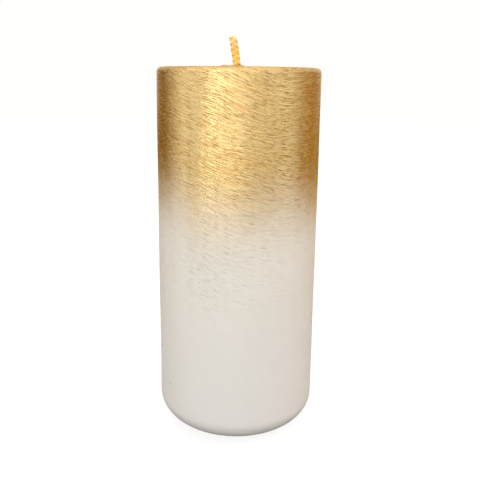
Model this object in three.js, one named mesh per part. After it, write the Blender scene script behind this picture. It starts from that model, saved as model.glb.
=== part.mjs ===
// Unity candle: a pressed wax pillar under a dipped ivory skin, with a brushed gold coat that thins
// out downwards and a plaited wick held by a tin clip set in the base.
// Millimetres, +Z up, the candle's axis on Z and its foot at z = 0.

import * as THREE from 'three';

// The pillar's outside
const WAX_HEIGHT = 150;
const BASE_RADIUS = 34;
const TOP_RADIUS = 33.3;
const FOOT_ROUNDING = 9;
const RIM_ROUNDING = 2;
const SHARPEST_ROUNDING = 0.5;

// Its layers, as distances in from that outside
const GAP = 0.3;
const COAT_INNER = 0.3;
const SKIN_UNDER_COAT = COAT_INNER + GAP;
const SKIN_INNER = 2.2;
const CORE_INSET = SKIN_INNER + GAP;
const COAT_LOW = 30;

// The wick and its way through the wax
const WICK_FOOT = 2.4;
const WICK_TIP = 161.8;
const WICK_LEAN = 2.6;
const LEAN_START = 140;
const LEAN_POWER = 1.5;
const PLAIT_PITCH = 6.6;
const PLAIT_HALF_WIDTH = 1.15;
const PLAIT_HALF_DEPTH = 0.85;
const STRAND_RADIUS = 0.37;
const STRAND_STEPS = 200;
const STRAND_SIDES = 5;
const CHANNEL_RADIUS = 1.8;
const WICK_HOLE_RADIUS = 3;
const COLLAR_RADIUS = 8;
const COLLAR_RISE = 0.7;

// The clip, pressed from tinplate
const TIN = 0.3;
const CLIP_RADIUS = 10;
const CLIP_WELL_RADIUS = 10.5;
const CLIP_BOTTOM = SKIN_INNER - TIN;
const NECK_RADIUS = 1.75;
const NECK_TOP = 8;
const NECK_FILLET = 0.6;
const NECK_WELL_RADIUS = NECK_RADIUS + TIN + NECK_FILLET + GAP;

// Fineness of the facets
const LATHE_SIDES = 60;
const ARC_STEPS = 5;
const COLLAR_STEPS = 3;

const waxMaterial = new THREE.MeshStandardMaterial({ color: 0xf1e9dc, roughness: 0.5 });
const skinMaterial = new THREE.MeshStandardMaterial({ color: 0xf4eee4, roughness: 0.42 });
const goldMaterial = new THREE.MeshStandardMaterial({
  color: 0xd9ab55,
  roughness: 0.38,
  metalness: 0.9,
});
const cottonMaterial = new THREE.MeshStandardMaterial({ color: 0xf2cf86, roughness: 0.75 });
const tinMaterial = new THREE.MeshStandardMaterial({
  color: 0xc2c4c6,
  roughness: 0.35,
  metalness: 1,
});

// The side's radius at height z: the pillar is a little wider at its foot.
function sideRadius(z) {
  return THREE.MathUtils.lerp(BASE_RADIUS, TOP_RADIUS, z / WAX_HEIGHT);
}

// Points [radius, z] on a quarter circle of the pillar's section, a distance inset inside it.
function quarterArc(centreZ, rounding, inset, startAngle) {
  const centreRadius = sideRadius(centreZ) - inset - rounding;
  return Array.from({ length: ARC_STEPS + 1 }, (_, i) => {
    const angle = startAngle + (i / ARC_STEPS) * (Math.PI / 2);
    return [centreRadius + rounding * Math.cos(angle), centreZ + rounding * Math.sin(angle)];
  });
}

// The rounded lower edge, from the underside out to the side.
function footArc(inset) {
  const rounding = Math.max(FOOT_ROUNDING - inset, SHARPEST_ROUNDING);
  return quarterArc(inset + rounding, rounding, inset, -Math.PI / 2);
}

// The rounded upper edge, from the side in to the top face.
function rimArc(inset) {
  const rounding = Math.max(RIM_ROUNDING - inset, SHARPEST_ROUNDING);
  return quarterArc(WAX_HEIGHT - inset - rounding, rounding, inset, 0);
}

// The low collar that the wax climbs up the wick, from the top face in to the wick's hole.
function collar(inset) {
  return Array.from({ length: COLLAR_STEPS + 1 }, (_, i) => {
    const share = i / COLLAR_STEPS;
    const radius = THREE.MathUtils.lerp(COLLAR_RADIUS, WICK_HOLE_RADIUS, share);
    return [radius, WAX_HEIGHT - inset + COLLAR_RISE * share * share];
  });
}

// A ring turned about Z from a closed section, listed from inside-below outwards and up.
function turnedRing(section) {
  const outline = [...section, section[0]].map(([radius, z]) => new THREE.Vector2(radius, z));
  return new THREE.LatheGeometry(outline, LATHE_SIDES).rotateX(Math.PI / 2);
}

function piece(name, geometry, material) {
  const mesh = new THREE.Mesh(geometry, material);
  mesh.name = name;
  return mesh;
}

// The pillar of pressed wax, with the wick's channel, wider at the clip's neck and at the top.
function waxCore() {
  const top = WAX_HEIGHT - CORE_INSET;
  return piece('wax_core', turnedRing([
    [NECK_WELL_RADIUS, CORE_INSET],
    ...footArc(CORE_INSET),
    ...rimArc(CORE_INSET),
    [WICK_HOLE_RADIUS, top],
    [CHANNEL_RADIUS, LEAN_START],
    [CHANNEL_RADIUS, NECK_TOP + 2 * GAP],
    [NECK_WELL_RADIUS, NECK_TOP + GAP],
  ]), waxMaterial);
}

// The skin from the last dips, all round the core, open over the clip and at the wick.
function dippedSkin() {
  const ledgeRadius = sideRadius(COAT_LOW);
  return piece('dipped_skin', turnedRing([
    [CLIP_WELL_RADIUS, 0],
    ...footArc(0),
    [ledgeRadius, COAT_LOW],
    [ledgeRadius - SKIN_UNDER_COAT, COAT_LOW],
    ...rimArc(SKIN_UNDER_COAT),
    ...collar(SKIN_UNDER_COAT),
    [WICK_HOLE_RADIUS, WAX_HEIGHT - SKIN_INNER],
    ...rimArc(SKIN_INNER).reverse(),
    ...footArc(SKIN_INNER).reverse(),
    [CLIP_WELL_RADIUS, SKIN_INNER],
  ]), skinMaterial);
}

// The sprayed and brushed gold, over the top face and down the side.
function goldCoat() {
  const low = COAT_LOW + GAP;
  const side = sideRadius(low);
  return piece('gold_coat', turnedRing([
    [side, low],
    ...rimArc(0),
    ...collar(0),
    ...collar(COAT_INNER).reverse(),
    ...rimArc(COAT_INNER).reverse(),
    [side - COAT_INNER, low],
  ]), goldMaterial);
}

// The tin clip under the core: a round plate with a neck that grips the wick.
function wickClip() {
  const neckOutside = NECK_RADIUS + TIN;
  return piece('wick_clip', turnedRing([
    [NECK_RADIUS, CLIP_BOTTOM],
    [CLIP_RADIUS, CLIP_BOTTOM],
    [CLIP_RADIUS, CLIP_BOTTOM + TIN],
    [neckOutside + NECK_FILLET, CLIP_BOTTOM + TIN],
    [neckOutside, CLIP_BOTTOM + TIN + NECK_FILLET],
    [neckOutside, NECK_TOP],
    [NECK_RADIUS, NECK_TOP],
  ]), tinMaterial);
}

// How far the wick's middle has leaned to -X at height z.
function wickLean(z) {
  const share = Math.max(z - LEAN_START, 0) / (WICK_TIP - LEAN_START);
  return WICK_LEAN * share ** LEAN_POWER;
}

// One strand of a flat three-strand plait, which crosses from side to side once in each pitch.
class PlaitPath extends THREE.Curve {
  constructor(phase) {
    super();
    this.phase = phase;
    this.arcLengthDivisions = 10 * STRAND_STEPS;
  }

  getPoint(t, target = new THREE.Vector3()) {
    const z = THREE.MathUtils.lerp(WICK_FOOT, WICK_TIP, t);
    const angle = (2 * Math.PI * z) / PLAIT_PITCH + this.phase;
    const x = PLAIT_HALF_WIDTH * Math.sin(angle) - wickLean(z);
    return target.set(x, PLAIT_HALF_DEPTH * Math.sin(2 * angle), z);
  }
}

function wickPlait(name, phase) {
  const section = new THREE.Shape(Array.from({ length: STRAND_SIDES }, (_, i) => {
    const angle = (2 * Math.PI * i) / STRAND_SIDES;
    return new THREE.Vector2(STRAND_RADIUS * Math.cos(angle), STRAND_RADIUS * Math.sin(angle));
  }));
  const geometry = new THREE.ExtrudeGeometry(section, {
    steps: STRAND_STEPS,
    extrudePath: new PlaitPath(phase),
    bevelEnabled: false,
  });
  return piece(name, geometry, cottonMaterial);
}

const candle = new THREE.Group();
candle.add(waxCore(), dippedSkin(), goldCoat(), wickClip());
['wick_plait_a', 'wick_plait_b', 'wick_plait_c'].forEach((name, i) => {
  candle.add(wickPlait(name, (2 * Math.PI * i) / 3));
});

export default candle;
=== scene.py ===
# Unity candle: the looks. Each visible piece is rebuilt here in fine mesh inside the packed
# frame, with procedural materials, on a pale floor under soft studio light. Metres throughout.

import math
import bpy
import numpy as np
from mathutils import Matrix, Vector


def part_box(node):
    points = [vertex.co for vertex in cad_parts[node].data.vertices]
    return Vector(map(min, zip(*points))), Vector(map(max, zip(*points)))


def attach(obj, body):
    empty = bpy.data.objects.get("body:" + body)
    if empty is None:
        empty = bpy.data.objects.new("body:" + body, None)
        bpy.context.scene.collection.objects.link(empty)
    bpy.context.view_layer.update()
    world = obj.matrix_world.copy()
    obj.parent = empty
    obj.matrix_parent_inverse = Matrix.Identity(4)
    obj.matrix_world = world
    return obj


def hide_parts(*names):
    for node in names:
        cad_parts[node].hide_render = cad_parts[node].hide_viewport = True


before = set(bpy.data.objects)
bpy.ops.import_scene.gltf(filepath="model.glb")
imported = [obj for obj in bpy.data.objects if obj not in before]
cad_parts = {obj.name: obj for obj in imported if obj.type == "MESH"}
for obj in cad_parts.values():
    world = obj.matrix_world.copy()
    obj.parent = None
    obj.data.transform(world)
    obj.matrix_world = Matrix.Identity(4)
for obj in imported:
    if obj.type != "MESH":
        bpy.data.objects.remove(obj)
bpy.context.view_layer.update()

MM = 0.001
_, skin_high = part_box("dipped_skin")
coat_low, coat_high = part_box("gold_coat")
clip_low, clip_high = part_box("wick_clip")
strand_boxes = [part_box("wick_plait_" + letter) for letter in "abc"]

# The pillar, from its foot to its top face
FOOT_ROUNDING = 9.0 * MM
RIM_ROUNDING = 2.0 * MM
COLLAR_RADIUS = 8.0 * MM
COLLAR_START = 3.0 * MM
COLLAR_RISE = 0.7 * MM
WAX_TOP = coat_high.z - COLLAR_RISE
SKIN_INNER = 2.2 * MM
COAT_THICKNESS = 0.25 * MM
COAT_CLEARANCE = 0.05 * MM
FEATHER_HEIGHT = 4.0 * MM
CLIP_WELL_RADIUS = 10.5 * MM

# The wick, on the same plait as its CAD strands
WICK_TIP = max(high.z for low, high in strand_boxes)
WICK_FOOT = min(low.z for low, high in strand_boxes)
LEAN = 2.6 * MM
LEAN_START = 140.0 * MM
LEAN_POWER = 1.5
PLAIT_PITCH = 6.6 * MM
PLAIT_HALF_WIDTH = 1.15 * MM
PLAIT_HALF_DEPTH = 0.85 * MM
YARN_RADIUS = 0.56 * MM

rng = np.random.default_rng(7)


# ---------------------------------------------------------------- the camera

CAMERA_DISTANCE = 239.9 * MM
CAMERA_BELOW_TOP = 4.1 * MM
CAMERA_PITCH = 0.2298
CAMERA_PAN = 0.0043
CAMERA_ROLL = 0.0113
CAMERA_LENS = 43.0
CAMERA_SHIFT = -0.058


def make_camera():
    data = bpy.data.cameras.new("camera")
    data.sensor_width = 36.0
    data.lens = CAMERA_LENS
    data.shift_y = CAMERA_SHIFT
    data.clip_start = 0.01
    camera = bpy.data.objects.new("camera", data)
    bpy.context.scene.collection.objects.link(camera)
    turn = (
        Matrix.Rotation(-CAMERA_PAN, 4, "Z")
        @ Matrix.Rotation(math.pi / 2 - CAMERA_PITCH, 4, "X")
        @ Matrix.Rotation(CAMERA_ROLL, 4, "Z")
    )
    place = Matrix.Translation((0.0, -CAMERA_DISTANCE, WAX_TOP - CAMERA_BELOW_TOP))
    camera.matrix_world = place @ turn
    bpy.context.scene.camera = camera


# ---------------------------------------------------------------- mesh helpers


def smooth_step(value, low, high):
    share = np.clip((value - low) / (high - low), 0.0, 1.0)
    return share * share * (3.0 - 2.0 * share)


def make_object(name, points, faces, material, sharp_angle=40.0):
    mesh = bpy.data.meshes.new(name)
    mesh.from_pydata(points, [], faces)
    mesh.materials.append(material)
    mesh.shade_smooth()
    mesh.set_sharp_from_angle(angle=math.radians(sharp_angle))
    mesh.update()
    piece = bpy.data.objects.new(name, mesh)
    bpy.context.scene.collection.objects.link(piece)
    return piece


def ring_faces(rows, columns, close_rows):
    """Quads of a grid whose columns close on themselves, and whose rows do so if asked."""
    row = np.arange(rows if close_rows else rows - 1)[:, None]
    column = np.arange(columns)[None, :]
    below, above = row * columns, ((row + 1) % rows) * columns
    right = (column + 1) % columns
    quads = np.stack([below + column, below + right, above + right, above + column], -1)
    return quads.reshape(-1, 4)


def steps(start, end, spacing):
    """Evenly spaced values from start to end, without the end itself."""
    count = max(1, round(abs(end - start) / spacing))
    return np.linspace(start, end, count, endpoint=False)


def arc(centre_radius, centre_height, rounding, start, end, spacing):
    """Points on an arc of the pillar's section, angles in degrees, without the last one."""
    angles = steps(math.radians(start), math.radians(end), spacing / rounding)
    return np.stack(
        [centre_radius + rounding * np.cos(angles), centre_height + rounding * np.sin(angles)], 1
    )


def line(start, end, spacing):
    """Points on a straight stretch of the section, without the last one."""
    start, end = np.array(start, float), np.array(end, float)
    share = steps(0.0, 1.0, spacing / max(np.linalg.norm(end - start), spacing))[:, None]
    return start + (end - start) * share


# ---------------------------------------------------------------- the pillar's surface


def side_radius(height):
    """The side's radius: it narrows evenly from the foot to the top."""
    skin_radius, coat_radius = skin_high.x, coat_high.x
    slope = (coat_radius - skin_radius) / (coat_low.z - FOOT_ROUNDING)
    return skin_radius + slope * (height - FOOT_ROUNDING)


def hand_dipped(angle, height):
    """Slow waves, a few hundredths of a millimetre deep, that dipping leaves on the wax."""
    return MM * (
        0.050 * np.sin(2.0 * angle + 40.0 * height + 0.6)
        + 0.035 * np.sin(3.0 * angle - 95.0 * height)
        + 0.025 * np.sin(5.0 * angle + 160.0 * height + 2.1)
        + 0.020 * np.sin(110.0 * height + 1.3)
    )


def recess(height):
    """How far the skin steps in under the coat, growing upwards from the coat's thin edge."""
    depth = COAT_THICKNESS + COAT_CLEARANCE
    return depth * smooth_step(height, coat_low.z, coat_low.z + FEATHER_HEIGHT)


def wick_middle(height):
    """How far to +X the wick's middle lies at this height; it leans to -X above the wax."""
    share = np.clip((height - LEAN_START) / (WICK_TIP - LEAN_START), 0.0, None)
    return -LEAN * share**LEAN_POWER


def place_rings(radius, height, columns):
    """Points of a turned grid: angle 0 faces the camera and grows towards +X."""
    angle = np.linspace(-math.pi, math.pi, columns, endpoint=False)
    angle, radius = np.meshgrid(angle, radius)
    height = np.broadcast_to(np.asarray(height)[:, None], angle.shape)
    return angle, radius, height.copy()


# ---------------------------------------------------------------- brush strokes in the coat

STROKES = 4200
STROKE_LENGTHS = (4.0 * MM, 11.0 * MM)
STROKE_WIDTHS = (0.18 * MM, 0.30 * MM)
GROOVE_SHARE = 0.6
GROOVE_DEPTHS = (0.015 * MM, 0.05 * MM)
RIDGE_HEIGHTS = (0.01 * MM, 0.035 * MM)
STROKE_TILT = 0.38
STEEPEST_AT = math.radians(-10.0)
# How the strokes' tilt changes round the girth: shares of the first, second and third turn
TILT_SHARES = (0.55, 0.325, 0.125)


def brush_relief(angle, along):
    """Height of the brush marks, in metres, over the unrolled coat. along is the distance up
    the coat's section, and each mark is a short groove or ridge that nearly follows the girth."""
    girth_radius = side_radius(WAX_TOP / 2)
    across = angle * girth_radius
    girth = 2.0 * math.pi * girth_radius
    relief = np.zeros_like(angle)
    rows = along[:, 0]
    low, high = rows.min(), rows.max()
    for _ in range(STROKES):
        middle, level = rng.uniform(-girth / 2, girth / 2), rng.uniform(low, high)
        length, width = rng.uniform(*STROKE_LENGTHS), rng.uniform(*STROKE_WIDTHS)
        is_groove = rng.random() < GROOVE_SHARE
        depth = -rng.uniform(*GROOVE_DEPTHS) if is_groove else rng.uniform(*RIDGE_HEIGHTS)
        turn = middle / girth_radius - STEEPEST_AT
        swing = sum(share * math.cos((i + 1) * turn) for i, share in enumerate(TILT_SHARES))
        tilt = -STROKE_TILT * swing + rng.normal(0, 0.05)
        bend = rng.normal(0, 1.5)
        reach = abs(tilt) * length / 2 + 4 * width
        first, last = np.searchsorted(rows, (level - reach, level + reach))
        if last <= first:
            continue
        offset = (across[0] - middle + girth / 2) % girth - girth / 2
        near = np.nonzero(np.abs(offset) < length / 2)[0]
        away = offset[near][None, :]
        rise = along[first:last, near] - level - tilt * away - bend * away**2
        fade = 1.0 - (2.0 * away / length) ** 2
        relief[first:last, near] += depth * fade * np.exp(-((rise / width) ** 2))
    return relief


# ---------------------------------------------------------------- material nodes


class Nodes:
    """Builds one material's nodes. Lengths inside it are millimetres."""

    def __init__(self, name):
        self.material = bpy.data.materials.new(name)
        self.material.use_nodes = True
        self.tree = self.material.node_tree
        self.shader = self.tree.nodes["Principled BSDF"]
        place = self.tree.nodes.new("ShaderNodeTexCoord").outputs["Object"]
        self.place = self.vector("SCALE", place, scale=1.0 / MM)
        parts = self.tree.nodes.new("ShaderNodeSeparateXYZ")
        self.join(self.place, parts.inputs[0])
        self.x, self.y, self.z = parts.outputs

    def join(self, value, socket):
        if isinstance(value, bpy.types.NodeSocket):
            self.tree.links.new(value, socket)
        elif isinstance(value, tuple) and len(value) == 3 and socket.type == "RGBA":
            socket.default_value = (*value, 1.0)
        else:
            socket.default_value = value

    def set(self, socket, value):
        self.join(value, self.shader.inputs[socket])

    def maths(self, operation, *values, clamp=False):
        node = self.tree.nodes.new("ShaderNodeMath")
        node.operation = operation
        node.use_clamp = clamp
        for value, socket in zip(values, node.inputs):
            self.join(value, socket)
        return node.outputs[0]

    def vector(self, operation, first, second=None, scale=None):
        node = self.tree.nodes.new("ShaderNodeVectorMath")
        node.operation = operation
        self.join(first, node.inputs[0])
        if second is not None:
            self.join(second, node.inputs[1])
        if scale is not None:
            self.join(scale, node.inputs["Scale"])
        return node.outputs["Value"] if operation == "LENGTH" else node.outputs["Vector"]

    def combine(self, x, y, z):
        node = self.tree.nodes.new("ShaderNodeCombineXYZ")
        for value, socket in zip((x, y, z), node.inputs):
            self.join(value, socket)
        return node.outputs[0]

    def noise(self, place, size, detail=2.0, roughness=0.5):
        """Soft noise, about 0 to 1, whose blobs are about size millimetres."""
        node = self.tree.nodes.new("ShaderNodeTexNoise")
        self.join(place, node.inputs["Vector"])
        node.inputs["Scale"].default_value = 1.0 / size
        node.inputs["Detail"].default_value = detail
        node.inputs["Roughness"].default_value = roughness
        return node.outputs["Fac"]

    def scatter(self, place):
        """Distance to the nearest of one scattered point per unit cell, and that point's chance."""
        node = self.tree.nodes.new("ShaderNodeTexVoronoi")
        self.join(place, node.inputs["Vector"])
        node.inputs["Scale"].default_value = 1.0
        parts = self.tree.nodes.new("ShaderNodeSeparateXYZ")
        self.join(node.outputs["Color"], parts.inputs[0])
        return node.outputs["Distance"], parts.outputs[0]

    def cells(self, place, size):
        """Distance to the nearest of a scatter of points about size millimetres apart."""
        node = self.tree.nodes.new("ShaderNodeTexVoronoi")
        self.join(place, node.inputs["Vector"])
        node.inputs["Scale"].default_value = 1.0 / size
        return node.outputs["Distance"]

    def ramp(self, value, low, high, start=0.0, end=1.0):
        """From start to end, smoothly, while the value goes from low to high."""
        node = self.tree.nodes.new("ShaderNodeMapRange")
        node.interpolation_type = "SMOOTHSTEP"
        names = ("From Min", "From Max", "To Min", "To Max")
        self.join(value, node.inputs["Value"])
        for name, number in zip(names, (low, high, start, end)):
            self.join(number, node.inputs[name])
        return node.outputs["Result"]

    def mix(self, share, first, second):
        node = self.tree.nodes.new("ShaderNodeMix")
        node.data_type = "RGBA"
        self.join(share, node.inputs[0])
        self.join(first, node.inputs[6])
        self.join(second, node.inputs[7])
        return node.outputs[2]

    def attribute(self, name):
        node = self.tree.nodes.new("ShaderNodeAttribute")
        node.attribute_name = name
        return node.outputs["Fac"]

    def bump(self, height, distance):
        """A surface normal raised by height times distance millimetres."""
        node = self.tree.nodes.new("ShaderNodeBump")
        node.inputs["Distance"].default_value = distance * MM
        node.inputs["Strength"].default_value = 1.0
        self.join(height, node.inputs["Height"])
        return node.outputs[0]


class BrushMarks:
    """Marks of a stiff brush drawn round the candle: layers of short thin strokes."""

    # Each layer: a stroke's length and width in mm, its slope, how far it leans off the others
    # seen from the front, and for the scratches how far it does so seen from the sides
    GROOVES = (
        (6.0, 0.46, 0.36, 0.05),
        (4.5, 0.32, 0.42, -0.04),
        (7.0, 0.52, 0.38, 0.0),
        (3.5, 0.24, 0.34, 0.0),
    )
    RIDGES = ((4.5, 0.30, 0.38, 0.03), (6.0, 0.42, 0.42, -0.03))
    SCRATCHES = ((4.2, 0.42, 0.3, 0.0, 0.55), (4.0, 0.38, 0.3, 0.0, -0.75))
    STREAKS = (6.0, 0.24, 0.38, 0.0, 0.0)
    # Every layer is shifted by its own seed, so that no two have their strokes in one place
    RIDGE_SEED, SCRATCH_SEED, STREAK_SEED = 5, 8, 11
    SEED_SHIFT = 3.7

    def __init__(self, nodes):
        self.nodes = nodes
        radius = nodes.vector("LENGTH", nodes.combine(nodes.x, nodes.y, 0.0))
        bend = nodes.maths("MULTIPLY", nodes.noise(nodes.place, 20.0, detail=0.0), 5.0)
        self.level = nodes.maths("ADD", nodes.maths("SUBTRACT", nodes.z, radius), bend)
        self.swing = self.tilted_turn(side_radius(WAX_TOP / 2) / MM)
        self.grooves = self.layers(self.GROOVES, 0)
        self.ridges = self.layers(self.RIDGES, self.RIDGE_SEED)
        self.scratches = self.layers(self.SCRATCHES, self.SCRATCH_SEED, share=0.5)
        self.streaks = nodes.noise(self.place(*self.STREAKS, self.STREAK_SEED), 1.0, detail=2.0)
        upright = nodes.vector("MULTIPLY", nodes.place, (1.0, 1.0, 0.12))
        self.lanes = nodes.ramp(nodes.noise(upright, 4.5, detail=1.0), 0.35, 0.65)

    def tilted_turn(self, radius):
        """A distance round the girth whose steps are long where the strokes are steepest. along
        and facing are the sine and cosine of the turn from there, and the three shares are
        integrated as brush_relief has them."""
        nodes = self.nodes
        cosine, sine = math.cos(STEEPEST_AT) / radius, math.sin(STEEPEST_AT) / radius
        along = nodes.maths("ADD", nodes.maths("MULTIPLY", nodes.x, cosine),
                            nodes.maths("MULTIPLY", nodes.y, sine))
        facing = nodes.maths("SUBTRACT", nodes.maths("MULTIPLY", nodes.x, sine),
                             nodes.maths("MULTIPLY", nodes.y, cosine))
        first, second, third = TILT_SHARES
        double = nodes.maths("MULTIPLY", nodes.maths("MULTIPLY", along, facing), second)
        squared = nodes.maths("POWER", nodes.maths("ABSOLUTE", along), 2.0)
        cubed = nodes.maths("MULTIPLY", squared, along)
        single = nodes.maths("MULTIPLY", along, first + third)
        turn = nodes.maths("SUBTRACT", nodes.maths("ADD", single, double),
                           nodes.maths("MULTIPLY", cubed, 4.0 / 3.0 * third))
        return nodes.maths("MULTIPLY", turn, radius)

    def layers(self, sizes, first_seed, share=0.85):
        """The sum of several layers, each with the seed after the last one's."""
        total = None
        for seed, size in enumerate(sizes, first_seed):
            layer = self.layer(*size, seed=seed, share=share)
            total = layer if total is None else self.nodes.maths("ADD", total, layer)
        return total

    def place(self, length, width, slope, lean, across, seed):
        """Coordinates in which one stroke fills about one unit cell."""
        nodes = self.nodes
        tilt = nodes.maths("ADD", nodes.maths("MULTIPLY", self.swing, slope),
                           nodes.maths("MULTIPLY", nodes.x, lean))
        tilt = nodes.maths("MULTIPLY_ADD", nodes.y, across, tilt)
        level = nodes.maths("ADD", self.level, tilt)
        return nodes.combine(
            nodes.maths("MULTIPLY_ADD", nodes.x, 1.0 / length, self.SEED_SHIFT * seed),
            nodes.maths("MULTIPLY", nodes.y, 1.0 / length),
            nodes.maths("MULTIPLY", level, 1.0 / width),
        )

    def layer(self, length, width, slope, lean, across=0.0, *, seed, share):
        """0 to 1: how far into a stroke each point is. A share of the strokes is there."""
        nodes = self.nodes
        away, chance = nodes.scatter(self.place(length, width, slope, lean, across, seed))
        inside = nodes.ramp(away, 0.10, 0.32, 1.0, 0.0)
        return nodes.maths("MULTIPLY", inside, nodes.ramp(chance, 1.0 - share, 1.0))


WAX_IOR = 1.46
WAX_ROUGHNESS = (0.36, 0.46)
GOLD_ROUGHNESS = (0.13, 0.19)
STROKE_HEIGHT = 0.07


def wax_colour(nodes):
    """Ivory wax, warmer higher up and cooler towards the foot, with slow cloudy patches."""
    cloud = nodes.noise(nodes.place, 16.0, detail=3.0)
    warmth = nodes.ramp(nodes.z, 20.0, 95.0)
    colour = nodes.mix(warmth, (0.84, 0.815, 0.775), (0.870, 0.825, 0.725))
    colour = nodes.mix(nodes.ramp(cloud, 0.35, 0.7, 0.0, 0.35), colour, (0.87, 0.835, 0.77))
    speck = nodes.ramp(nodes.cells(nodes.place, 11.0), 0.022, 0.04, 0.75, 0.0)
    return nodes.mix(speck, colour, (0.33, 0.27, 0.20))


def brushed_wax_colour(nodes, marks):
    """The wax's colour with faint brush lines, which die out towards the foot. The lines are
    painted light: painted shade darkens the grooves and painted glints lighten the ridges.
    """
    colour = wax_colour(nodes)
    faint = nodes.ramp(nodes.z, 5.0, 85.0)
    # Painted shade: the grooves are darkened.
    dark = nodes.maths("MULTIPLY", marks.grooves, nodes.maths("MULTIPLY", faint, 0.12), clamp=True)
    # Painted glints: the ridges are lightened.
    light = nodes.maths("MULTIPLY", marks.ridges, nodes.maths("MULTIPLY", faint, 0.9), clamp=True)
    colour = nodes.mix(dark, colour, (0.62, 0.54, 0.42))
    return nodes.mix(light, colour, (0.98, 0.96, 0.92))


def brushed_normal(nodes, marks, depth, grain):
    """The brush marks' normal; depth is a factor that can vary over the surface."""
    height = nodes.maths("SUBTRACT", nodes.maths("MULTIPLY", marks.ridges, 0.6), marks.grooves)
    height = nodes.maths("ADD", height, nodes.maths("MULTIPLY", marks.scratches, 0.6))
    height = nodes.maths("ADD", height, nodes.maths("MULTIPLY", marks.streaks, 1.4))
    height = nodes.maths("ADD", height, nodes.maths("MULTIPLY", grain, 0.5))
    height = nodes.maths("MULTIPLY", height, depth)
    return nodes.bump(height, STROKE_HEIGHT)


def fine_grain(nodes):
    return nodes.noise(nodes.place, 0.3, detail=2.0, roughness=0.7)


def waxy_roughness(nodes):
    return nodes.ramp(nodes.noise(nodes.place, 1.3, detail=3.0), 0.3, 0.7, *WAX_ROUGHNESS)


def wax_material(name):
    """Ivory wax, with the faint marks of the brush, as bumps and as painted shade in their grooves
    and painted glints on their ridges.
    """
    nodes = Nodes(name)
    marks = BrushMarks(nodes)
    nodes.set("Base Color", brushed_wax_colour(nodes, marks))
    nodes.set("Roughness", waxy_roughness(nodes))
    nodes.set("IOR", WAX_IOR)
    nodes.set("Normal", brushed_normal(nodes, marks, 0.5, fine_grain(nodes)))
    return nodes.material


def gold_thickness(nodes):
    """How thick the gold lies, 0 to 1: it thins out downwards, and sooner at the two edges."""
    at_left = nodes.ramp(nodes.x, -14.0, -27.0, 0.0, 8.0)
    at_right = nodes.ramp(nodes.x, -3.0, 12.0, 0.0, 4.0)
    level = nodes.maths("SUBTRACT", nodes.maths("SUBTRACT", nodes.z, at_left), at_right)
    return nodes.maths("POWER", nodes.ramp(level, 70.0, 113.0), 1.3)


def gold_cover(nodes, marks, grain, thickness):
    """The share of the wax that gold hides, broken up by grains and strokes where it is thin."""
    patch = nodes.noise(nodes.place, 9.0, detail=2.0)
    blots = nodes.maths("MULTIPLY", nodes.maths("SUBTRACT", patch, 0.5), 0.25)
    uneven = nodes.maths("MULTIPLY", nodes.maths("SUBTRACT", grain, 0.5), 0.45)
    uneven = nodes.maths("ADD", uneven, blots)
    uneven = nodes.maths("ADD", uneven, nodes.maths("MULTIPLY", marks.ridges, 0.12))
    uneven = nodes.maths("SUBTRACT", uneven, nodes.maths("MULTIPLY", marks.grooves, 0.10))
    starting = nodes.ramp(thickness, 0.0, 0.35)
    ending = nodes.ramp(thickness, 1.0, 0.7, 0.0, 1.0)
    middle = nodes.maths("MULTIPLY", starting, ending)
    return nodes.maths("MULTIPLY_ADD", uneven, middle, thickness, clamp=True)


def gold_colour(nodes, marks, grain):
    """Gold in streaks of two tones, with light and dark grains. Painted light is added: the tone is
    lighter on the coat's raised relief and darker in its dents, the ridges get a painted highlight
    and the grooves painted shade.
    """
    # Painted highlight and shade: the relief attribute lifts the tone where the coat is raised and
    # lowers it in dents.
    tone = nodes.maths("MULTIPLY_ADD", nodes.attribute("relief"), 0.06, marks.streaks)
    gold = nodes.mix(nodes.ramp(tone, 0.34, 0.60), (0.78, 0.45, 0.15), (0.97, 0.73, 0.33))
    gold = nodes.mix(nodes.ramp(grain, 0.52, 0.70, 0.0, 0.7), gold, (1.0, 0.88, 0.52))
    gold = nodes.mix(nodes.ramp(grain, 0.46, 0.28, 0.0, 0.7), gold, (0.60, 0.29, 0.05))
    # Painted highlight: the ridges are paler.
    raised = nodes.maths("MULTIPLY", marks.ridges, 0.7, clamp=True)
    gold = nodes.mix(raised, gold, (1.0, 0.86, 0.46))
    # Painted shade: the grooves are darkened, more in some lanes than in others.
    groove_shade_strength = nodes.maths("MULTIPLY_ADD", marks.lanes, 0.55, 0.35)
    cut = nodes.maths("MULTIPLY", marks.grooves, groove_shade_strength, clamp=True)
    return nodes.mix(cut, gold, (0.34, 0.13, 0.015))


def stroke_depth(nodes, side, thickness):
    """How deep the strokes are: shallow low down, deeper at the gold's sides and where the
    wax has a silky sheen, left of the middle below the fade."""
    depth = nodes.ramp(nodes.z, 30.0, 90.0, 0.5, 1.0)
    from_sheen = nodes.vector("LENGTH", nodes.combine(
        nodes.maths("MULTIPLY_ADD", nodes.x, 0.09, 1.0),
        nodes.maths("MULTIPLY_ADD", nodes.z, 0.033, -2.5),
        0.0,
    ))
    depth = nodes.maths("ADD", depth, nodes.ramp(from_sheen, 1.1, 0.4, 0.0, 0.5))
    at_sides = nodes.maths("MULTIPLY", nodes.maths("MULTIPLY", side, thickness), 0.55)
    return nodes.maths("ADD", depth, at_sides)


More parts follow.
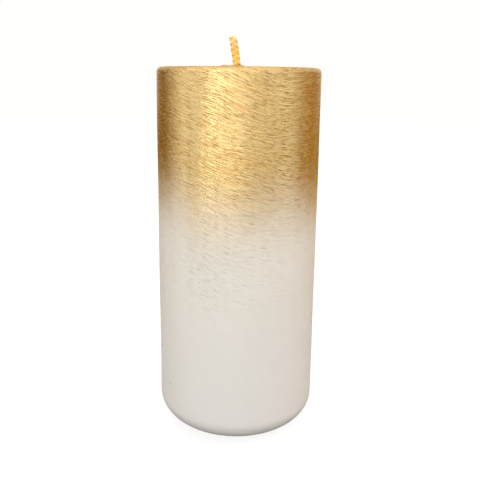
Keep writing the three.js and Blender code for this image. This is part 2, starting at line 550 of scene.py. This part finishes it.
def gold_material(name):
    """Brushed gold over ivory wax, scratched thin at the two sides."""
    nodes = Nodes(name)
    marks = BrushMarks(nodes)
    grain = fine_grain(nodes)
    thickness = gold_thickness(nodes)
    cover = gold_cover(nodes, marks, grain, thickness)
    off_middle = nodes.maths("ABSOLUTE", nodes.maths("ADD", nodes.x, 2.0))
    side = nodes.ramp(off_middle, 17.0, 26.0, 0.08, 1.0)
    scratched = nodes.maths("MULTIPLY", marks.scratches, side, clamp=True)

    gold = nodes.mix(scratched, gold_colour(nodes, marks, grain), (0.84, 0.56, 0.22))
    # Where the gold is thin the wax shows, with its painted shade in the grooves and painted glints
    # on the ridges.
    nodes.set("Base Color", nodes.mix(cover, brushed_wax_colour(nodes, marks), gold))
    bare = nodes.maths("MULTIPLY_ADD", scratched, -0.85, 1.0)
    nodes.set("Metallic", nodes.maths("MULTIPLY", cover, bare))
    polish = nodes.maths("MULTIPLY", marks.ridges, 1.2, clamp=True)
    wax_roughness = nodes.maths("MULTIPLY_ADD", polish, -0.26, waxy_roughness(nodes))
    gold_roughness = nodes.ramp(grain, 0.3, 0.7, *GOLD_ROUGHNESS)
    nodes.set("Roughness", nodes.mix(cover, wax_roughness, gold_roughness))
    nodes.set("IOR", WAX_IOR)
    depth = stroke_depth(nodes, side, thickness)
    nodes.set("Normal", brushed_normal(nodes, marks, depth, grain))
    return nodes.material


def pressed_wax_material(name):
    """Wax granules pressed together: faint cells with slightly clearer edges."""
    nodes = Nodes(name)
    cell = nodes.cells(nodes.place, 1.6)
    edges = nodes.ramp(cell, 0.2, 0.6)
    nodes.set("Base Color", nodes.mix(edges, (0.80, 0.77, 0.70), (0.72, 0.68, 0.60)))
    nodes.set("Roughness", nodes.ramp(cell, 0.0, 0.6, 0.45, 0.65))
    nodes.set("Normal", nodes.bump(cell, 0.08))
    return nodes.material


def tin_material(name):
    """Rolled tinplate: bright grey metal with fine straight rolling lines and dull spots."""
    nodes = Nodes(name)
    rolled = nodes.noise(nodes.vector("MULTIPLY", nodes.place, (0.12, 3.0, 3.0)), 0.5, detail=3.0)
    spots = nodes.noise(nodes.place, 2.2, detail=3.0)
    nodes.set("Base Color", nodes.mix(spots, (0.50, 0.51, 0.53), (0.72, 0.73, 0.74)))
    nodes.set("Metallic", 1.0)
    nodes.set("Roughness", nodes.ramp(spots, 0.3, 0.7, 0.28, 0.48))
    nodes.set("Normal", nodes.bump(rolled, 0.02))
    return nodes.material


def cotton_material(name):
    """Waxed cotton: amber with wax near the candle, paler and drier towards the cut tip."""
    nodes = Nodes(name)
    fibre = nodes.noise(nodes.vector("MULTIPLY", nodes.place, (3.0, 3.0, 0.8)), 0.5, detail=3.0)
    soaked = nodes.ramp(nodes.z, WICK_TIP / MM - 0.5, WICK_TIP / MM - 5.0)
    colour = nodes.mix(soaked, (1.0, 0.80, 0.46), (1.0, 0.64, 0.16))
    colour = nodes.mix(nodes.ramp(fibre, 0.35, 0.65, 0.2, 0.0), colour, (0.88, 0.50, 0.12))
    nodes.set("Base Color", colour)
    nodes.set("Roughness", nodes.ramp(fibre, 0.3, 0.7, 0.5, 0.75))
    nodes.set("Normal", nodes.bump(fibre, 0.04))
    return nodes.material


# ---------------------------------------------------------------- the pieces

COAT_COLUMNS, SKIN_COLUMNS, CLIP_COLUMNS = 280, 200, 96
BRUSHED_FROM = 70.0 * MM
COAT_HOLE_RADIUS = 1.0 * MM
INNER_START = 6.0 * MM
THINNEST = 0.004 * MM
RELIEF_UNIT = 0.05 * MM
# The small lump of wax beside the wick: its place, its half-sizes and its height
LUMP_X, LUMP_Y = -6.3 * MM, -1.0 * MM
LUMP_LENGTH, LUMP_WIDTH = 2.1 * MM, 2.6 * MM
LUMP_HEIGHT = 0.95 * MM
WICK_SIDES = 16
FINE_WICK_FROM = 146.0 * MM
FIBRES, FIBRE_POINTS, FIBRE_SIDES = 16, 6, 4


def make_coat(material):
    """The gold coat: a thin shell with every brush mark in its outer face."""
    low, top = coat_low.z, WAX_TOP
    rim_height = top - RIM_ROUNDING
    rim_radius = side_radius(rim_height) - RIM_ROUNDING
    side = np.concatenate([
        steps(low, BRUSHED_FROM, 1.3 * MM),
        steps(BRUSHED_FROM, rim_height, 0.33 * MM),
    ])
    outer = np.concatenate([
        np.stack([side_radius(side), side], 1),
        arc(rim_radius, rim_height, RIM_ROUNDING, 0, 90, 0.4 * MM),
        line((rim_radius, top), (COLLAR_RADIUS, top), 0.8 * MM),
        line((COLLAR_RADIUS, top), (COAT_HOLE_RADIUS, top), 0.6 * MM),
    ])
    angle, radius, height = place_rings(outer[:, 0], outer[:, 1], COAT_COLUMNS)
    along = np.concatenate([[0.0], np.cumsum(np.linalg.norm(np.diff(outer, axis=0), axis=1))])
    along = np.broadcast_to(along[:, None], angle.shape) + low

    strength = 0.12 + 0.88 * smooth_step(height, 55 * MM, 92 * MM)
    strength = strength * smooth_step(height, low, low + 2 * FEATHER_HEIGHT)
    strength = strength * smooth_step(radius, 2.0 * MM, COLLAR_RADIUS)
    relief = brush_relief(angle, along) * strength

    slope = np.gradient(outer, axis=0)
    slope /= np.linalg.norm(slope, axis=1)[:, None]
    outward, upward = slope[:, 1][:, None], -slope[:, 0][:, None]
    raised = relief + hand_dipped(angle, height)
    radius = radius + raised * outward
    height = height + raised * upward

    climb = np.clip((COLLAR_RADIUS - radius) / (COLLAR_RADIUS - COLLAR_START), 0.0, None)
    on_top = np.arange(len(outer))[:, None] >= len(side)
    climb = np.where(on_top, climb, 0.0)
    height = height + COLLAR_RISE * climb**2
    near_wick = smooth_step(-radius, -COLLAR_RADIUS, -1.5 * MM)
    shift = wick_middle(top + COLLAR_RISE) * near_wick * on_top
    x = radius * np.sin(angle) + shift
    y = -radius * np.cos(angle)
    lump = np.exp(-(((x - LUMP_X) / LUMP_LENGTH) ** 2) - ((y - LUMP_Y) / LUMP_WIDTH) ** 2)
    height = height + LUMP_HEIGHT * lump * on_top

    inner_height = np.concatenate([
        steps(rim_height, low + FEATHER_HEIGHT, 9 * MM),
        steps(low + FEATHER_HEIGHT, low + 0.2 * MM, 0.6 * MM),
    ])
    thickness = np.maximum(recess(inner_height) - COAT_CLEARANCE, THINNEST)
    inner_radius = side_radius(inner_height) - thickness
    ceiling = top - COAT_THICKNESS
    inside = np.concatenate([
        [(COAT_HOLE_RADIUS, ceiling)],
        line((INNER_START, ceiling), (rim_radius, ceiling), 8 * MM),
        arc(rim_radius, rim_height, RIM_ROUNDING - COAT_THICKNESS, 90, 0, 1.2 * MM),
        np.stack([inner_radius, inner_height], 1),
    ])
    inner_angle, in_radius, in_height = place_rings(inside[:, 0], inside[:, 1], COAT_COLUMNS)
    in_radius = in_radius + hand_dipped(inner_angle, in_height) * (in_height < rim_height)
    first_shift = np.zeros_like(in_radius)
    first_shift[0] = shift[-1]
    inner_x = in_radius * np.sin(inner_angle) + first_shift
    inner = np.stack([inner_x, -in_radius * np.cos(inner_angle), in_height], -1)

    points = np.concatenate([np.stack([x, y, height], -1), inner]).reshape(-1, 3)
    faces = ring_faces(len(outer) + len(inside), COAT_COLUMNS, True)
    piece = make_object("gold_coat_brushed", points, faces, material)
    marks = piece.data.attributes.new("relief", "FLOAT", "POINT")
    values = np.zeros(len(points), np.float32)
    values[: relief.size] = (relief / RELIEF_UNIT).ravel()
    marks.data.foreach_set("value", values)
    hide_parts("gold_coat")
    return piece


def make_skin(material):
    """The dipped skin: base, rounded foot and side, and its hidden walls under the coat."""
    low, top = coat_low.z, WAX_TOP
    foot_radius = side_radius(FOOT_ROUNDING) - FOOT_ROUNDING
    seen = steps(FOOT_ROUNDING, low, 0.8 * MM)
    hidden = np.concatenate([
        steps(low, low + 2 * FEATHER_HEIGHT, 0.5 * MM),
        steps(low + 2 * FEATHER_HEIGHT, top - RIM_ROUNDING, 6 * MM),
    ])
    side = np.concatenate([seen, hidden])
    drop = recess(side) + np.where(side >= low, 0.01 * MM, 0.0)
    under = COAT_THICKNESS + COAT_CLEARANCE
    rim_height = top - RIM_ROUNDING
    rim_radius = side_radius(rim_height) - RIM_ROUNDING
    inner_radius = side_radius(top / 2) - SKIN_INNER
    well_edge = 0.4 * MM
    outline = np.concatenate([
        line((CLIP_WELL_RADIUS, SKIN_INNER), (CLIP_WELL_RADIUS, well_edge), 0.6 * MM),
        arc(CLIP_WELL_RADIUS + well_edge, well_edge, well_edge, 180, 270, 0.15 * MM),
        line((CLIP_WELL_RADIUS + well_edge, 0.0), (foot_radius, 0.0), 0.8 * MM),
        arc(foot_radius, FOOT_ROUNDING, FOOT_ROUNDING, -90, 0, 0.7 * MM),
        np.stack([side_radius(side) - drop, side], 1),
        arc(rim_radius, rim_height, RIM_ROUNDING - under, 0, 90, 0.6 * MM),
        line((rim_radius, top - under), (COLLAR_START, top - under), 6 * MM),
        line((COLLAR_START, top - under), (COLLAR_START, top - SKIN_INNER), 0.8 * MM),
        line((COLLAR_START, top - SKIN_INNER), (inner_radius, top - SKIN_INNER), 8 * MM),
        line((inner_radius, top - SKIN_INNER), (inner_radius, FOOT_ROUNDING), 12 * MM),
        arc(inner_radius - FOOT_ROUNDING + SKIN_INNER, FOOT_ROUNDING, FOOT_ROUNDING - SKIN_INNER,
            0, -90, 1.5 * MM),
    ])
    angle, radius, height = place_rings(outline[:, 0], outline[:, 1], SKIN_COLUMNS)
    on_side = smooth_step(height, 0.0, FOOT_ROUNDING) * (radius > inner_radius + 0.5 * MM)
    radius = radius + hand_dipped(angle, height) * on_side
    points = np.stack([radius * np.sin(angle), -radius * np.cos(angle), height], -1)
    faces = ring_faces(len(outline), SKIN_COLUMNS, True)
    piece = make_object("dipped_skin_wax", points.reshape(-1, 3), faces, material)
    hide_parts("dipped_skin")
    return piece


def plait_point(height, phase):
    """The middle of one strand at each height. A strand crosses over once in each pitch."""
    angle = 2.0 * math.pi * height / PLAIT_PITCH + phase
    x = (PLAIT_HALF_WIDTH - 0.07 * MM) * np.sin(angle) + wick_middle(height)
    return np.stack([x, PLAIT_HALF_DEPTH * np.sin(2.0 * angle), height], -1)


def wick_ring(path, across, deep, sides, lobes=None):
    """Rings round a path; across is each ring's half-size along the path's own side."""
    ahead = np.gradient(path, axis=0)
    ahead /= np.linalg.norm(ahead, axis=1)[:, None]
    side = np.cross(ahead, (0.0, 1.0, 0.0))
    side /= np.linalg.norm(side, axis=1)[:, None]
    out = np.cross(ahead, side)
    turn = np.linspace(0, 2 * math.pi, sides, endpoint=False)
    swell = np.ones((len(path), sides)) if lobes is None else lobes(turn, path)
    wide = (np.asarray(across)[:, None] * swell * np.cos(turn))[..., None] * side[:, None, :]
    thick = (np.asarray(deep)[:, None] * swell * np.sin(turn))[..., None] * out[:, None, :]
    return (path[:, None, :] + wide + thick).reshape(-1, 3)


def tube_faces(rings, sides):
    """Faces of a tube of rings, closed at both ends."""
    faces = [tuple(face) for face in ring_faces(rings, sides, False)]
    last = (rings - 1) * sides
    return faces + [tuple(range(sides))[::-1], tuple(range(last, last + sides))]


def yarn_lobes(turn, path):
    """Three plies twisted together, with the small unevenness of spun cotton."""
    length = np.concatenate([[0.0], np.cumsum(np.linalg.norm(np.diff(path, axis=0), axis=1))])
    lobes = 1.0 + 0.07 * np.cos(3 * (turn[None, :] - length[:, None] * 1500.0))
    return lobes + rng.normal(0, 0.015, lobes.shape)


def make_strand(letter, phase, material):
    """One strand of the plait: a twisted yarn, finely made where it stands out of the wax."""
    end = WICK_TIP - rng.uniform(0.0, 0.25) * MM
    height = np.concatenate([
        steps(WICK_FOOT, FINE_WICK_FROM, 0.6 * MM),
        steps(FINE_WICK_FROM, end, 0.14 * MM),
        [end],
    ])
    path = plait_point(height, phase)
    blunt = np.clip((end - height) / (0.3 * MM), 0.0, 1.0)
    size = YARN_RADIUS * (0.72 + 0.28 * np.sqrt(1.0 - (1.0 - blunt) ** 2))
    points = wick_ring(path, size, 0.85 * size, WICK_SIDES, yarn_lobes)
    faces = tube_faces(len(path), WICK_SIDES)
    piece = make_object("wick_yarn_" + letter, points, faces, material, 60.0)
    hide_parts("wick_plait_" + letter)
    return piece


def make_wick_wax(material):
    """The wax that fills the plait, and the loose cotton ends at its cut tip."""
    wax_tip = WICK_TIP - 0.9 * MM
    height = np.append(steps(FINE_WICK_FROM, wax_tip, 0.25 * MM), wax_tip)
    path = np.stack([wick_middle(height), 0.0 * height, height], -1)
    waist = 1.0 + 0.05 * np.sin(2.0 * math.pi * height / (PLAIT_PITCH / 3) + 1.0)
    points = wick_ring(path, 1.42 * MM * waist, 0.86 * MM * waist, WICK_SIDES)
    faces = tube_faces(len(path), WICK_SIDES)
    for _ in range(FIBRES):
        start = plait_point(np.array([WICK_TIP - 0.35 * MM]), rng.uniform(0, 2 * math.pi))[0]
        start = start + rng.normal(0, 0.18 * MM, 3)
        heading = np.array([rng.normal(-0.25, 0.45), rng.normal(0, 0.45), 1.0])
        curl = rng.normal(0, 0.5, 3) * (1, 1, 0.2)
        share = np.linspace(0, 1, FIBRE_POINTS)[:, None]
        fibre = start + (heading * share + curl * share**2) * rng.uniform(0.35, 0.75) * MM
        thin = np.linspace(0.035, 0.012, FIBRE_POINTS) * MM
        first = len(points)
        points = np.concatenate([points, wick_ring(fibre, thin, thin, FIBRE_SIDES)])
        for face in tube_faces(FIBRE_POINTS, FIBRE_SIDES):
            faces.append(tuple(first + corner for corner in face))
    piece = make_object("wick_wax_and_fibres", points, faces, material, 60.0)
    return piece


def make_clip(material):
    """The clip: a thin plate with a rolled edge and one pressed ring, and its crimped neck."""
    tin = 0.3 * MM
    bottom, top = clip_low.z, clip_high.z
    edge, neck = clip_high.x, 1.75 * MM
    ring, ring_width, ring_depth = 6.5 * MM, 0.7 * MM, 0.35 * MM

    def pressed(radius):
        return ring_depth * math.exp(-(((radius - ring) / ring_width) ** 2))

    out = np.linspace(neck + 0.5 * MM, edge - tin / 2, 34)
    back = np.linspace(edge - tin / 2, neck + tin + 0.6 * MM, 34)
    outline = np.array([
        (neck, bottom + 0.5 * MM),
        (neck + 0.15 * MM, bottom + 0.12 * MM),
        *((radius, bottom - pressed(radius)) for radius in out),
        (edge, bottom + tin / 2),
        *((radius, bottom + tin - pressed(radius)) for radius in back),
        (neck + tin + 0.15 * MM, bottom + tin + 0.2 * MM),
        (neck + tin, bottom + tin + 0.8 * MM),
        (neck + tin, top - tin / 2),
        (neck + tin / 2, top),
        (neck, top - tin / 2),
    ])
    angle, radius, height = place_rings(outline[:, 0], outline[:, 1], CLIP_COLUMNS)
    points = np.stack([radius * np.sin(angle), -radius * np.cos(angle), height], -1)
    faces = ring_faces(len(outline), CLIP_COLUMNS, True)
    piece = make_object("wick_clip_pressed", points.reshape(-1, 3), faces, material)
    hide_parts("wick_clip")
    return piece


# ---------------------------------------------------------------- floor and light

FLOOR_REACH = 6.0
TENT_RADIUS = 6.0
TENT_FOOT, TENT_HEIGHT = -0.2, 7.0
PANEL_STRIPS = 12
ROOF_GLOW = 1.05
PAPER_GLOW = 0.86
NEUTRAL, WARM, AMBER = (1.0, 0.99, 0.97), (1.0, 0.88, 0.74), (1.0, 0.56, 0.08)
# Where each panel starts, in degrees from the camera's side towards +X, its glow and its tint
TENT_PANELS = (
    (-90, 1.10, NEUTRAL),
    (-65, 1.05, NEUTRAL),
    (-46, 1.30, NEUTRAL),
    (-26, 1.50, NEUTRAL),
    (7, 1.16, NEUTRAL),
    (30, 1.02, NEUTRAL),
    (82, 0.60, WARM),
    (98, 0.40, AMBER),
    (140, 0.80, WARM),
    (212, 0.20, AMBER),
    (250, 0.62, WARM),
)
# Behind the candle the panels stop at this height, with one even glow above them
BAND_HEIGHT = 1.7
REAR_SKY = (0.74, (1.0, 0.92, 0.82))
# The same for the cards on the floor, which are seen only as reflections in the candle, and how
# far out from its axis they start and end
CARD_START, CARD_END = 0.12, 0.98 * TENT_RADIUS
CARD_LEVEL = 0.5 * MM
CARDS = (
    (-90, 0.66, NEUTRAL),
    (-26, 0.90, NEUTRAL),
    (7, 0.54, WARM),
    (52, 0.64, NEUTRAL),
    (82, 0.45, WARM),
    (98, 0.40, AMBER),
    (160, 0.30, WARM),
    (200, 0.26, AMBER),
    (255, 0.50, WARM),
)


def sectors(panels):
    """Each panel's angles in radians, glow and tint, up to where the next one starts."""
    for number, (start, glow, tint) in enumerate(panels):
        end = panels[(number + 1) % len(panels)][0]
        end += 360 if end < start else 0
        yield number, np.radians(np.linspace(start, end, PANEL_STRIPS + 1)), glow, tint


def light_only_itself(lamp):
    """Keeps a glowing object's light off all the rest, so that it only looks pale itself."""
    receivers = bpy.data.collections.new(lamp.name + "_alone")
    receivers.objects.link(lamp)
    lamp.light_linking.receiver_collection = receivers


def make_floor():
    """Pale paper, which glows a little so that it looks as white as the surround."""
    nodes = Nodes("floor_paper")
    fibre = nodes.noise(nodes.place, 40.0, detail=2.0)
    nodes.set("Base Color", nodes.mix(fibre, (0.155, 0.154, 0.152), (0.165, 0.164, 0.162)))
    nodes.set("Roughness", 1.0)
    nodes.set("Specular IOR Level", 0.0)
    nodes.set("Emission Color", (1.0, 0.995, 0.985))
    nodes.set("Emission Strength", PAPER_GLOW)
    far = FLOOR_REACH
    corners = [(-far, -far, 0.0), (far, -far, 0.0), (far, far, 0.0), (-far, far, 0.0)]
    floor = make_object("floor", corners, [(0, 1, 2, 3)], nodes.material)
    light_only_itself(floor)


def make_world():
    world = bpy.data.worlds.new("world")
    bpy.context.scene.world = world
    world.use_nodes = True
    sky = world.node_tree.nodes["Background"]
    sky.inputs["Color"].default_value = (1.0, 0.995, 0.985, 1.0)
    sky.inputs["Strength"].default_value = 1.0


def make_softbox(name, azimuth, elevation, distance, width, power, tint=(1.0, 1.0, 1.0)):
    """A soft square light that looks at the candle's middle. Azimuth 0 is the camera's side."""
    data = bpy.data.lights.new(name, "AREA")
    data.shape = "RECTANGLE"
    data.size = data.size_y = width
    data.energy = power
    data.color = tint
    lamp = bpy.data.objects.new(name, data)
    bpy.context.scene.collection.objects.link(lamp)
    azimuth, elevation = math.radians(azimuth), math.radians(elevation)
    away = Vector((math.sin(azimuth) * math.cos(elevation),
                   -math.cos(azimuth) * math.cos(elevation), math.sin(elevation)))
    lamp.location = Vector((0.0, 0.0, WAX_TOP / 2)) + away * distance
    lamp.rotation_mode = "QUATERNION"
    lamp.rotation_quaternion = away.to_track_quat("Z", "Y")
    lamp.visible_camera = False
    return lamp


def make_panel(name, points, faces, glow, tint):
    """A black panel that glows evenly, and that the camera doesn't see."""
    nodes = Nodes(name)
    nodes.set("Base Color", (0.0, 0.0, 0.0))
    nodes.set("Specular IOR Level", 0.0)
    nodes.set("Emission Color", tint)
    nodes.set("Emission Strength", glow)
    panel = make_object(name, points, faces, nodes.material)
    panel.visible_camera = False
    return panel


def make_tent():
    """A round light tent of even panels, bright in front and dim at the sides, and its cards."""
    columns = PANEL_STRIPS + 1
    strip = [(i, i + 1, columns + i + 1, columns + i) for i in range(PANEL_STRIPS)]
    for number, angles, glow, tint in sectors(TENT_PANELS):
        bands = [(TENT_FOOT, TENT_HEIGHT, glow, tint)]
        is_behind = math.cos(angles[PANEL_STRIPS // 2]) < 0.0
        if is_behind:
            bands = [
                (TENT_FOOT, BAND_HEIGHT, glow, tint),
                (BAND_HEIGHT, TENT_HEIGHT, *REAR_SKY),
            ]
        for level, (low, high, shine, hue) in enumerate(bands):
            points = [
                (TENT_RADIUS * math.sin(a), -TENT_RADIUS * math.cos(a), height)
                for height in (low, high)
                for a in angles
            ]
            make_panel("tent_panel_%d_%d" % (number, level), points, strip, shine, hue)
    for number, angles, glow, tint in sectors(CARDS):
        points = [
            (reach * math.sin(a), -reach * math.cos(a), CARD_LEVEL)
            for reach in (CARD_START, CARD_END)
            for a in angles
        ]
        card = make_panel("floor_card_%d" % number, points, strip, glow, tint)
        card.visible_diffuse = card.visible_shadow = False
    far = TENT_RADIUS
    corners = [(x, y, TENT_HEIGHT) for x, y in ((-far, -far), (far, -far), (far, far), (-far, far))]
    make_panel("tent_roof", corners, [(0, 1, 2, 3)], ROOF_GLOW, NEUTRAL)


def make_studio():
    """The surround, the tent and the lamps. Only the key lamp shows in the candle's sheen."""
    scene = bpy.context.scene
    scene.view_settings.view_transform = "Standard"
    scene.view_settings.look = "None"
    make_world()
    make_tent()
    make_softbox("key_softbox", -24, 24, 1.0, 0.30, 0.7)
    fills = (
        make_softbox("right_fill", 92, 40, 1.2, 0.40, 3.4, (1.0, 0.78, 0.68)),
        make_softbox("front_fill", 25, 20, 1.2, 0.50, 1.1),
        make_softbox("left_fill", -60, 20, 1.2, 0.50, 1.1, (1.0, 0.92, 0.88)),
        make_softbox("rear_fill_right", 150, 25, 1.2, 0.50, 3.6, (1.0, 0.97, 0.94)),
        make_softbox("rear_fill_left", 214, 25, 1.2, 0.50, 5.0, (1.0, 0.97, 0.94)),
    )
    for fill in fills:
        fill.visible_glossy = False


# ---------------------------------------------------------------- the whole

make_camera()
make_floor()
make_studio()

ivory_wax = wax_material("ivory_wax")
brushed_gold = gold_material("brushed_gold")
waxed_cotton = cotton_material("waxed_cotton")

candle_pieces = [
    make_coat(brushed_gold),
    make_skin(ivory_wax),
    make_clip(tin_material("tinplate")),
    make_wick_wax(waxed_cotton),
]
for number, letter in enumerate("abc"):
    candle_pieces.append(make_strand(letter, 2.0 * math.pi * number / 3.0, waxed_cotton))
for piece in candle_pieces:
    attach(piece, "root")

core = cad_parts["wax_core"]
core.data.materials.clear()
core.data.materials.append(pressed_wax_material("pressed_wax"))
